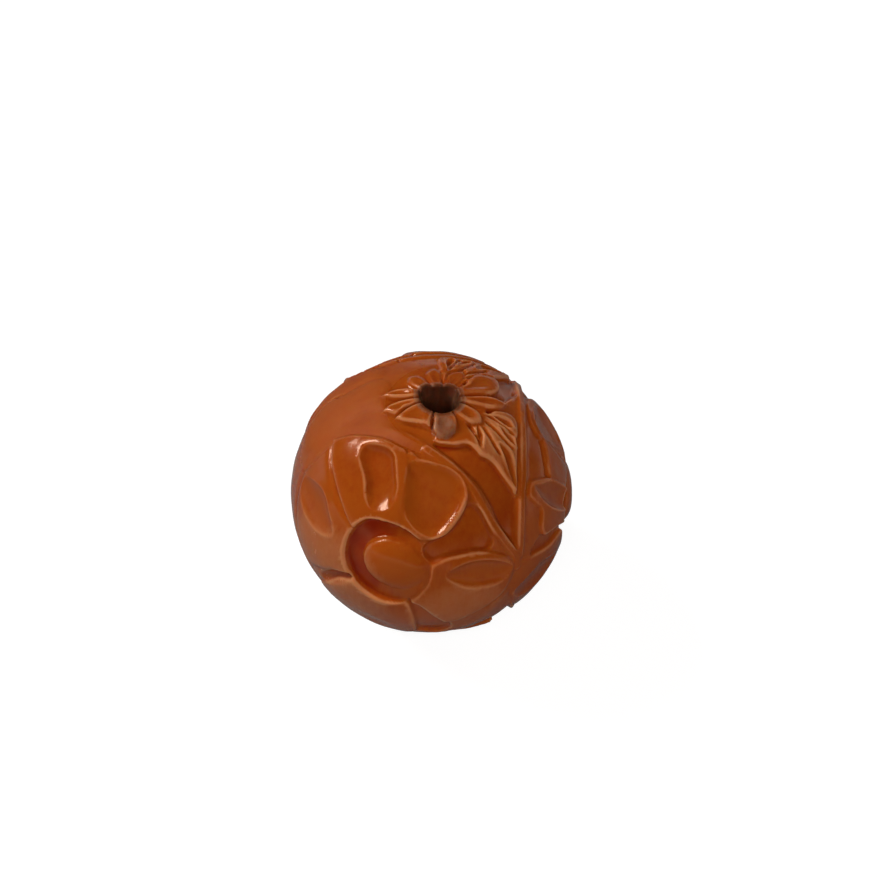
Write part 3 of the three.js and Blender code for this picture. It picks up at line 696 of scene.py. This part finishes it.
def put_in_order(mesh):
    """Sorts edges and faces by their first three corners, because spin shuffles them in each run."""
    mesh.verts.index_update()
    count = len(mesh.verts)

    def rank(element):
        numbers = sorted(vert.index for vert in element.verts)[:3]
        return sum(number * count ** power for power, number in enumerate(reversed(numbers)))

    mesh.edges.sort(key=rank)
    mesh.faces.sort(key=rank)


def bent_faces(mesh):
    """The faces on which a straight edge would miss the relief."""
    spots = np.array([v.co for v in mesh.verts])
    pairs = np.array([(e.verts[0].index, e.verts[1].index) for e in mesh.edges])
    mids = (spots[pairs[:, 0]] + spots[pairs[:, 1]]) / 2
    mids *= (np.linalg.norm(spots[pairs[:, 0]], axis=1) / np.linalg.norm(mids, axis=1))[:, None]
    ends, _ = carved(spots)
    middles, _ = carved(mids)
    straight = (ends[pairs[:, 0]] + ends[pairs[:, 1]]) / 2
    length = np.linalg.norm(ends[pairs[:, 0]] - ends[pairs[:, 1]], axis=1)
    missed = np.linalg.norm(middles - straight, axis=1)
    bent = (missed > FINE_BEND) & (length > FINEST_EDGE)
    return {face for edge, far in zip(mesh.edges, bent) if far for face in edge.link_faces}


def edge_shares(spots):
    """How far each spot stands out from the surface round it: 1 on a crest, below 0 in a cut."""
    directions = spots / np.linalg.norm(spots, axis=1)[:, None]
    aside = np.cross(directions, (0, 0, 1))
    aside /= np.maximum(np.linalg.norm(aside, axis=1), TINY)[:, None]
    upward = np.cross(aside, directions)
    round_about = np.zeros(len(spots))
    for turn in np.arange(EDGE_LOOKS) * 2 * math.pi / EDGE_LOOKS:
        near = directions + EDGE_REACH / crest_radius * (math.cos(turn) * aside + math.sin(turn) * upward)
        round_about += relief(near / np.linalg.norm(near, axis=1)[:, None]) / EDGE_LOOKS
    return (relief(directions) - round_about) / EDGE_HEIGHT


def patch_shares(spots, patches):
    """Patches on the ball, each whole in its middle and faded out at its reach."""
    directions = spots / np.linalg.norm(spots, axis=1)[:, None]
    shares = np.zeros(len(spots))
    for patch in patches:
        middle = seat_axes(patch["lon"], patch["polar"])[2]
        away = np.linalg.norm(directions - middle, axis=1) * crest_radius
        shares = np.maximum(shares, patch["share"] * smooth(2 - 2 * away / patch["reach"]))
    return shares


def plain_shares(spots):
    """1 between the blossoms and the rosettes, 0 inside them."""
    directions = spots / np.linalg.norm(spots, axis=1)[:, None]
    shares = np.ones(len(spots))
    for blossom in BLOSSOMS:
        across, along, out = seat_axes(**blossom["seat"])
        arcs = np.arccos(np.clip(directions @ out, -1, 1)) * crest_radius / MM
        turns = np.degrees(np.arctan2(directions @ along, directions @ across))
        shares *= smooth((arcs - border_arcs(blossom["border"], turns)) / BORDER_FADE + 2)
    bore_arcs = np.arccos(np.clip(np.abs(directions[:, 2]), -1, 1)) * crest_radius
    return shares * smooth((bore_arcs - ROSETTE_RADIUS) / ROSETTE_FADE)


def bore_shade_and_dirt_shares(spots):
    """Painted shade inside the bore and round its mouths, and dirt on the worn grey leaflets round them."""
    length = np.linalg.norm(spots, axis=1)
    arcs = np.arccos(np.clip(np.abs(spots[:, 2]) / length, -1, 1)) * crest_radius
    inside = length < mouth_reach - HAIR
    rim = smooth(1 - (arcs - MOUTH_DARK_START) / MOUTH_DARK_FADE)
    return np.where(inside, 1, np.maximum(rim, patch_shares(spots, GREY_LEAFLETS)))


for _ in range(FINE_ROUNDS):
    put_in_order(bead_mesh)
    faces = bent_faces(bead_mesh)
    edges = [edge for edge in bead_mesh.edges if not faces.isdisjoint(edge.link_faces)]
    bmesh.ops.subdivide_edges(bead_mesh, edges=edges, cuts=1, use_grid_fill=True)

put_in_order(bead_mesh)
spots = np.array([v.co for v in bead_mesh.verts])
ends, heights = carved(spots)
for vert, end in zip(bead_mesh.verts, ends):
    vert.co = Vector(end) + Vector((0, 0, half_height))
for face in bead_mesh.faces:
    face.smooth = True
bmesh.ops.recalc_face_normals(bead_mesh, faces=bead_mesh.faces)

mesh = bpy.data.meshes.new("bead")
bead_mesh.to_mesh(mesh)
bead_mesh.free()
marks = {
    "relief": heights / RELIEF_DEPTH, "edge": edge_shares(spots), "bore_shade_and_dirt": bore_shade_and_dirt_shares(spots),
    "dull": patch_shares(spots, DULL_PATCHES) * plain_shares(spots),
    "pale": patch_shares(spots, PAINTED_REFLECTION_PATCHES),
}
for name, shares in marks.items():
    mark = mesh.attributes.new(name, "FLOAT", "POINT")
    mark.data.foreach_set("value", shares)
bead = bpy.data.objects.new("bead", mesh)
bpy.context.scene.collection.objects.link(bead)


# The resin: cast phenolic resin, orange brown and a little see-through, rubbed to a gloss by hand.
# It is painted darker red in cuts and ring grooves as painted shade, paler on crests and some lower forms as
# painted highlight and reflection, dark in the bore as painted shade, and dirty on the grey leaflets.
class Socket:
    """A shader value that can be added, subtracted and multiplied in Python."""

    def __init__(self, recipe, link):
        self.recipe, self.link = recipe, link

    def _math(self, operation, first, second):
        return self.recipe.node("ShaderNodeMath", {"operation": operation}, {0: first, 1: second})["Value"]

    def __add__(self, other):
        return self._math("ADD", self, other)

    def __mul__(self, other):
        return self._math("MULTIPLY", self, other)

    def __sub__(self, other):
        return self._math("SUBTRACT", self, other)

    def __rsub__(self, other):
        return self._math("SUBTRACT", other, self)

    __radd__ = __add__
    __rmul__ = __mul__


class Recipe:
    """The nodes of a material or a world, each made by one method."""

    def __init__(self, name, kinds=bpy.data.materials):
        self.owner = kinds.new(name)
        self.owner.use_nodes = True
        self.tree = self.owner.node_tree
        self.tree.nodes.clear()

    def node(self, kind, settings=None, inputs=None):
        node = self.tree.nodes.new(kind)
        for name, value in (settings or {}).items():
            setattr(node, name, value)
        for name, value in (inputs or {}).items():
            if isinstance(value, Socket):
                self.tree.links.new(value.link, node.inputs[name])
            else:
                node.inputs[name].default_value = value
        return {output.name: Socket(self, output) for output in node.outputs if output.enabled}


# The darker red under the resin: the resin's own uneven tone where the cloud is low, and painted shade in
# cuts and low ground
DARK_TONE_AND_CREVICE_SHADE = (0.26, 0.025, 0.001, 1)
# Painted shade: the dark red laid on the deepest ground, mostly the floors of the ring grooves
RING_GROOVE_SHADE_RED = (0.24, 0.014, 0.001, 1)
RESIN = (0.36, 0.066, 0.004, 1)
# Paler amber: painted highlight along the crests and painted reflection on some lower forms, with grain and
# hatch noise mixed in
PALE_AMBER_SHEEN_AND_WEAR = (0.52, 0.19, 0.07, 1)
# Near black: painted shade inside the bore and at its mouths, and dirt on the grey leaflets
BORE_SHADE_AND_DIRT = (0.05, 0.02, 0.009, 1)
CRUST = (0.3, 0.15, 0.09, 1)
RESIN_IOR = 1.45
SHEEN = (1, 0.66, 0.48, 1)
# The brushing runs along the bore, so its noise is drawn out that way
HATCH_DRAW = (1, 1, 0.12)

resin = Recipe("resin")


def noise(vector, scale, detail, roughness):
    """A cloudy value with these sizes and strengths."""
    return resin.node("ShaderNodeTexNoise", {}, {
        "Vector": vector, "Scale": scale, "Detail": detail, "Roughness": roughness})["Fac"]


place = resin.node("ShaderNodeTexCoord")["Object"]
relief_share, edge_share, bore_shade_and_dirt_share, dull_share, painted_reflection_share = [
    resin.node("ShaderNodeAttribute", {"attribute_name": name})["Fac"] for name in marks]
cloud = noise(place, scale=260, detail=3, roughness=0.5)
grain = noise(place, scale=2400, detail=4, roughness=0.6)
drawn_out = resin.node("ShaderNodeVectorMath", {"operation": "MULTIPLY"}, {0: place, 1: HATCH_DRAW})
hatch = noise(drawn_out["Vector"], scale=3200, detail=3, roughness=0.7)
# Each share weighs the marks and the noises: 0 keeps the colour below, and 1 covers it
# Painted shade: low relief and cuts (edge share below 0) lean to the darker red, as the shade in them; the
# cloud and hatch give the resin's own uneven tone
depth_share = relief_share * 0.3 + edge_share * 0.5 + cloud * 2 + hatch * 0.9 - 0.65
# Painted shade: the deepest ground, mostly the ring grooves, is painted dark red as the shade that falls
# there
ring_shade_share = 1.1 - relief_share * 10
# Painted highlight and painted reflection: crests and the pale patches are painted paler, and the grain and
# hatch noises speckle it
sheen_and_wear_share = edge_share * 1.8 + grain * 0.3 + hatch * 0.3 + painted_reflection_share * relief_share * 1.2 - 0.6
# Painted shade in the bore and at its mouths, and dirt on the grey leaflets
dirt_share = bore_shade_and_dirt_share * 0.7 + bore_shade_and_dirt_share * grain * 0.6 - 0.15
crust_share = 4 * bore_shade_and_dirt_share * (1 - bore_shade_and_dirt_share) * (grain + hatch) - 0.65
body = DARK_TONE_AND_CREVICE_SHADE
for share, colour in ((depth_share, RESIN), (ring_shade_share, RING_GROOVE_SHADE_RED), (sheen_and_wear_share, PALE_AMBER_SHEEN_AND_WEAR),
                      (dirt_share, BORE_SHADE_AND_DIRT), (crust_share, CRUST)):
    body = resin.node("ShaderNodeMix", {"data_type": "RGBA"}, {0: share, 6: body, 7: colour})["Result"]
gloss = 0.02 + 0.12 * grain + 0.14 * hatch + 0.4 * bore_shade_and_dirt_share + 0.5 * dull_share + 0.2 * painted_reflection_share * cloud
fine_bump = resin.node("ShaderNodeBump", {}, {
    "Strength": 0.3, "Distance": 0.02 * MM, "Height": grain + hatch})["Normal"]
soft_bump = resin.node("ShaderNodeBump", {}, {
    "Strength": 0.5, "Distance": 0.05 * MM, "Height": cloud, "Normal": fine_bump})["Normal"]
skin = resin.node("ShaderNodeBsdfPrincipled", {}, {
    "Base Color": body, "Roughness": gloss, "IOR": RESIN_IOR, "Specular Tint": SHEEN, "Normal": soft_bump,
    "Subsurface Weight": 0.45, "Subsurface Radius": (1, 0.3, 0.08), "Subsurface Scale": 0.7 * MM,
})
resin.node("ShaderNodeOutputMaterial", {}, {"Surface": skin["BSDF"]})
mesh.materials.append(resin.owner)

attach(bead, "root")
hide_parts("carved_bead")

# The setting: a plain pale floor, a soft window at the left, and soft lamps in front and behind
# that do not show in the polish. The camera stands where the photograph was taken, and it sees
# the paper and the room as plain white.
FLOOR_SIZE = 1.2
PAPER = (0.26, 0.255, 0.25, 1)
PAPER_ROUGHNESS = 0.9
PAPER_GLOW = 0.88
# How far from the bead the paper starts to shine in the polish, and where it shines in full
SHINE_START = 0.06
SHINE_WHOLE = 0.4
CAMERA_AZIMUTH = math.radians(13.5)
CAMERA_ELEVATION = math.radians(49.63)
CAMERA_ROLL = math.radians(6.23)
CAMERA_DISTANCE = 150 * MM
CAMERA_LENS = 88.1
CAMERA_SHIFT = (0.01026, 0.0623)

floor_mesh = bmesh.new()
bmesh.ops.create_grid(floor_mesh, x_segments=1, y_segments=1, size=FLOOR_SIZE / 2)
floor_data = bpy.data.meshes.new("floor")
floor_mesh.to_mesh(floor_data)
floor = bpy.data.objects.new("floor", floor_data)
bpy.context.scene.collection.objects.link(floor)
paper = Recipe("paper")
ways = paper.node("ShaderNodeLightPath")
spot = paper.node("ShaderNodeTexCoord")["Object"]
far = paper.node("ShaderNodeVectorMath", {"operation": "LENGTH"}, {0: spot})["Value"]
clear = paper.node("ShaderNodeMapRange", {}, {
    "Value": far, "From Min": SHINE_START, "From Max": SHINE_WHOLE})["Result"]
seen = ways["Is Camera Ray"] + (ways["Is Glossy Ray"] + ways["Is Transmission Ray"]) * clear
sheet = paper.node("ShaderNodeBsdfPrincipled", {}, {
    "Base Color": PAPER, "Roughness": PAPER_ROUGHNESS, "Emission Color": seen,
    "Emission Strength": PAPER_GLOW,
})
paper.node("ShaderNodeOutputMaterial", {}, {"Surface": sheet["BSDF"]})
floor_data.materials.append(paper.owner)


def axes_at(place, rightward, upward, backward):
    """The matrix of an object that stands at a place with these three axes."""
    return Matrix.Translation(place) @ Matrix((rightward, upward, backward)).transposed().to_4x4()


middle = Vector((0, 0, half_height))
level = Vector((math.cos(CAMERA_AZIMUTH), math.sin(CAMERA_AZIMUTH), 0))
back = Vector((
    math.sin(CAMERA_AZIMUTH) * math.cos(CAMERA_ELEVATION),
    -math.cos(CAMERA_AZIMUTH) * math.cos(CAMERA_ELEVATION),
    math.sin(CAMERA_ELEVATION),
))
upright = back.cross(level)
right = level * math.cos(CAMERA_ROLL) + upright * math.sin(CAMERA_ROLL)
up = upright * math.cos(CAMERA_ROLL) - level * math.sin(CAMERA_ROLL)
camera_data = bpy.data.cameras.new("camera")
camera_data.lens = CAMERA_LENS
camera_data.shift_x, camera_data.shift_y = CAMERA_SHIFT
camera_data.clip_start = 1 * MM
camera = bpy.data.objects.new("camera", camera_data)
camera.matrix_world = axes_at(middle + back * CAMERA_DISTANCE, right, up, back)
bpy.context.scene.collection.objects.link(camera)
bpy.context.scene.camera = camera


def lamp(name, place, width, height, watts, mirrored=True):
    """A rectangle that faces the bead, its width lying across the picture."""
    data = bpy.data.lights.new(name, "AREA")
    data.shape = "RECTANGLE"
    data.size, data.size_y, data.energy = width, height, watts
    light = bpy.data.objects.new(name, data)
    toward = middle - Vector(place)
    across = (right - toward * right.dot(toward) / toward.length_squared).normalized()
    light.matrix_world = axes_at(place, across, across.cross(toward).normalized(), -toward.normalized())
    light.visible_glossy = mirrored
    bpy.context.scene.collection.objects.link(light)


lamp("window", (-0.32, -0.01, 0.28), width=0.17, height=0.09, watts=1.1)
lamp("fill", (0.1, -0.34, 0.36), width=0.25, height=0.25, watts=1.4, mirrored=False)
lamp("rear fill", (0.12, 0.42, 0.1), width=0.25, height=0.25, watts=0.45, mirrored=False)

room = Recipe("room", bpy.data.worlds)
bpy.context.scene.world = room.owner
heading = room.node("ShaderNodeTexCoord")["Generated"]
height = room.node("ShaderNodeSeparateXYZ", {}, {"Vector": heading})["Z"]
glow = room.node("ShaderNodeMapRange", {}, {
    "Value": height, "From Min": 0.02, "From Max": 0.12, "To Min": 0.3, "To Max": 0.05})["Result"]
walls = room.node("ShaderNodeBackground", {}, {"Color": (1, 1, 1, 1), "Strength": glow})["Background"]
bright = room.node("ShaderNodeBackground", {}, {"Color": (1, 1, 1, 1), "Strength": 1})["Background"]
shown = room.node("ShaderNodeLightPath")["Is Camera Ray"]
room.node("ShaderNodeOutputWorld", {}, {
    "Surface": room.node("ShaderNodeMixShader", {}, {0: shown, 1: walls, 2: bright})["Shader"]})
bpy.context.scene.view_settings.view_transform = "Standard"
